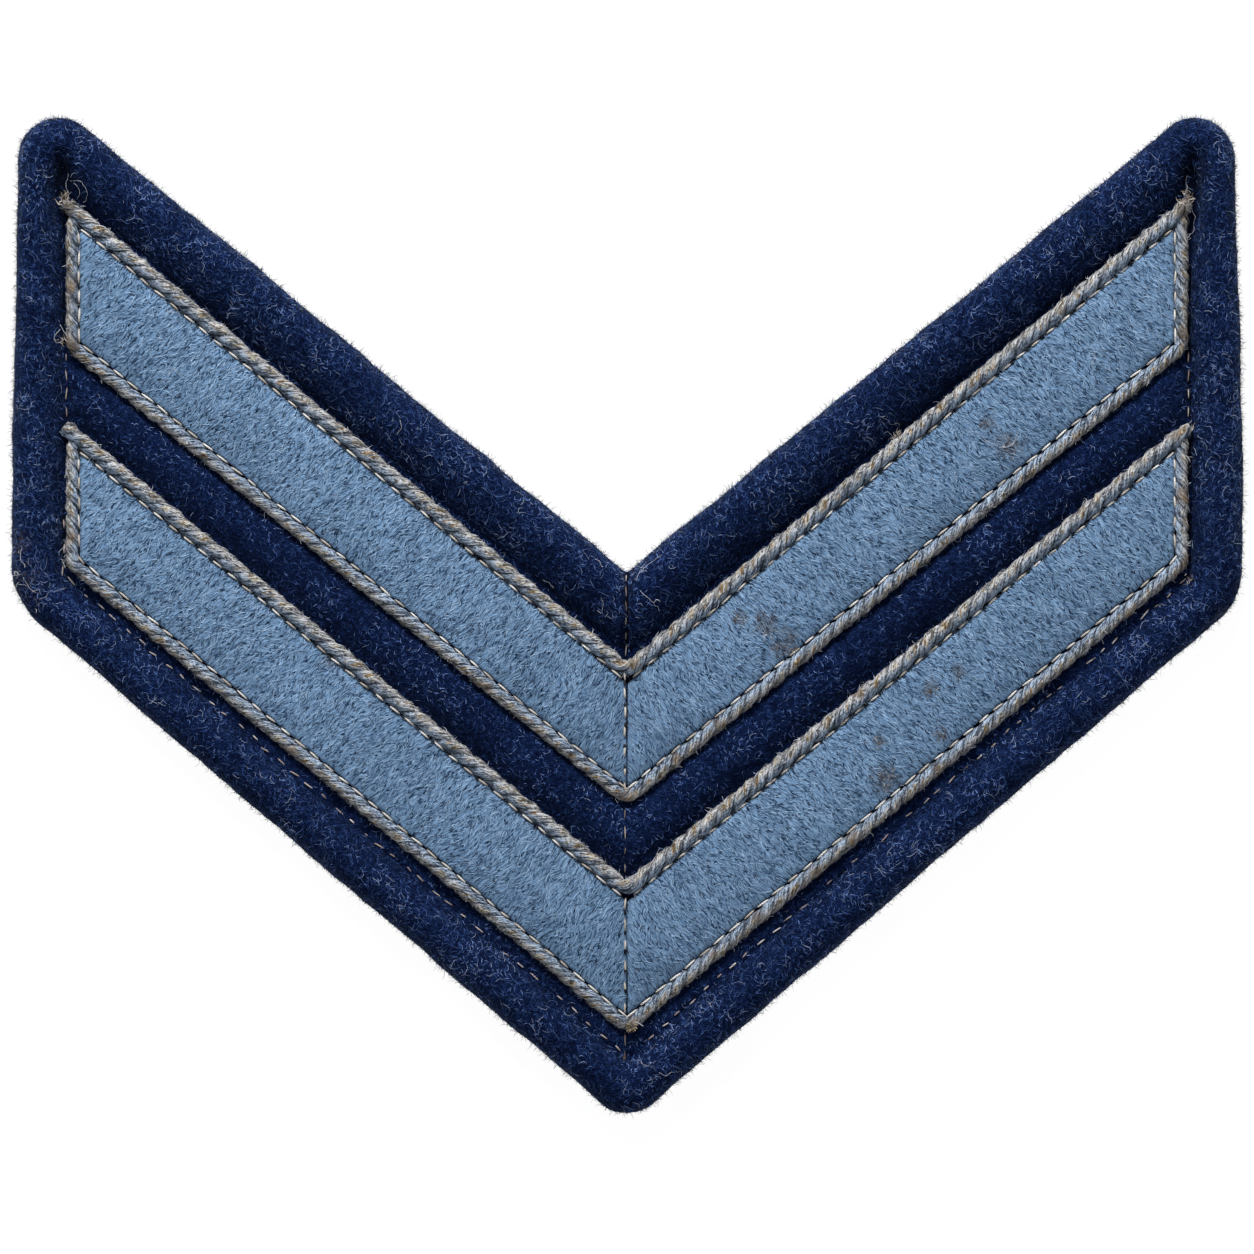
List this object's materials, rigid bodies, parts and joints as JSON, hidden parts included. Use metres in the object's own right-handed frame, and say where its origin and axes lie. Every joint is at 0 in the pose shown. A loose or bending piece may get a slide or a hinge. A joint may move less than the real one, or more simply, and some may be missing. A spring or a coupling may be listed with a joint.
{
  "type": "rank insignia",
  "caption": "Flat cloth sleeve chevron, points down: pale blue felt stripes edged with twisted cord on a navy felt ground inside a padded border.",
  "frame": {"origin": "middle of the flat back, under the middle of the bounding box", "axes": "+X to the right along the width, +Y up towards the upper points, +Z out of the face"},
  "size_m": [0.1354, 0.1095, 0.0042],
  "materials": {
    "ground_felt": "navy wool felt with a raised, fuzzy face",
    "border_felt": "navy wool felt drawn over padding, fuzzy",
    "stripe_felt": "pale blue brushed wool felt with the nap laid slantwise",
    "cord": "twisted blue-grey cord wound with cream and tan thread"
  },
  "bodies": {
    "root": {"ground": "ground_felt", "border_roll": "border_felt", "upper_stripe_left": "stripe_felt", "upper_stripe_right": "stripe_felt", "lower_stripe_left": "stripe_felt", "lower_stripe_right": "stripe_felt", "upper_top_cord": "cord", "upper_bottom_cord": "cord", "lower_top_cord": "cord", "lower_bottom_cord": "cord"}
  },
  "joints": []
}
